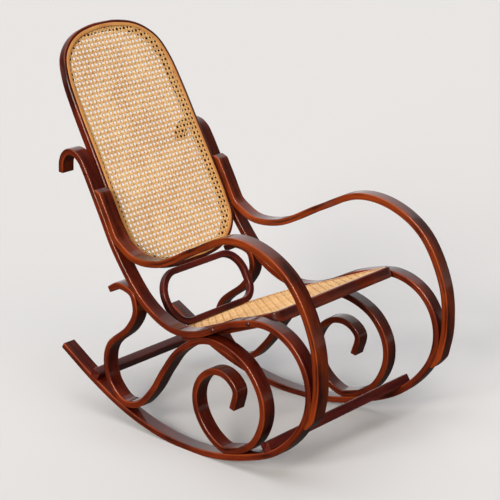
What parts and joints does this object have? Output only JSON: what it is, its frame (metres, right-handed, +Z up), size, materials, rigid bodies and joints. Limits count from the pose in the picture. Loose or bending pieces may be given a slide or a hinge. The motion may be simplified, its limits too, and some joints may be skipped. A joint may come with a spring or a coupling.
{
  "type": "bentwood rocking chair",
  "caption": "Bentwood rocking chair with scrolled side frames on curved rockers, looping armrests, a lumbar ring, and woven cane in the seat and the tall rounded back",
  "frame": {"origin": "on the floor plane, under the middle of the chair's bounding box", "axes": "+Z up, -Y is the sitter's front, +X is the sitter's left; X = 0 is the mirror plane"},
  "size_m": [0.546, 0.9228, 0.9521],
  "materials": {
    "stained_beech": "gloss lacquer over mahogany stain",
    "dark_beech": "gloss lacquer over dark stain",
    "woven_cane": "natural woven rattan cane",
    "cane_band": "natural rattan band, darker with age",
    "brass_hardware": "aged, dull"
  },
  "bodies": {
    "root": {"side_frame_right": "stained_beech", "side_frame_left": "stained_beech", "armrest_right": "stained_beech", "armrest_left": "stained_beech", "scroll_brace_right": "stained_beech", "scroll_brace_left": "stained_beech", "back_hoop": "stained_beech", "lumbar_ring": "dark_beech", "seat_ring": "stained_beech", "stretcher_front": "dark_beech", "stretcher_rear": "dark_beech", "back_cane_panel": "woven_cane", "seat_cane_panel": "woven_cane", "back_cane_band": "cane_band", "seat_cane_band": "cane_band", "armrest_top_screw_right_1": "brass_hardware", "armrest_top_screw_right_2": "brass_hardware", "armrest_foot_screw_right_1": "brass_hardware", "armrest_foot_screw_right_2": "brass_hardware", "scroll_screw_right_1": "brass_hardware", "scroll_screw_right_2": "brass_hardware", "scroll_screw_right_3": "brass_hardware", "scroll_screw_right_4": "brass_hardware", "seat_bolt_right_1": "brass_hardware", "seat_bolt_right_2": "brass_hardware", "hoop_screw_right_1": "brass_hardware", "hoop_screw_right_2": "brass_hardware", "stretcher_screw_front_right": "brass_hardware", "stretcher_screw_rear_right": "brass_hardware", "ring_top_screw_right": "brass_hardware", "ring_foot_screw_right": "brass_hardware", "armrest_top_screw_left_1": "brass_hardware", "armrest_top_screw_left_2": "brass_hardware", "armrest_foot_screw_left_1": "brass_hardware", "armrest_foot_screw_left_2": "brass_hardware", "scroll_screw_left_1": "brass_hardware", "scroll_screw_left_2": "brass_hardware", "scroll_screw_left_3": "brass_hardware", "scroll_screw_left_4": "brass_hardware", "seat_bolt_left_1": "brass_hardware", "seat_bolt_left_2": "brass_hardware", "hoop_screw_left_1": "brass_hardware", "hoop_screw_left_2": "brass_hardware", "stretcher_screw_front_left": "brass_hardware", "stretcher_screw_rear_left": "brass_hardware", "ring_top_screw_left": "brass_hardware", "ring_foot_screw_left": "brass_hardware"}
  },
  "joints": []
}
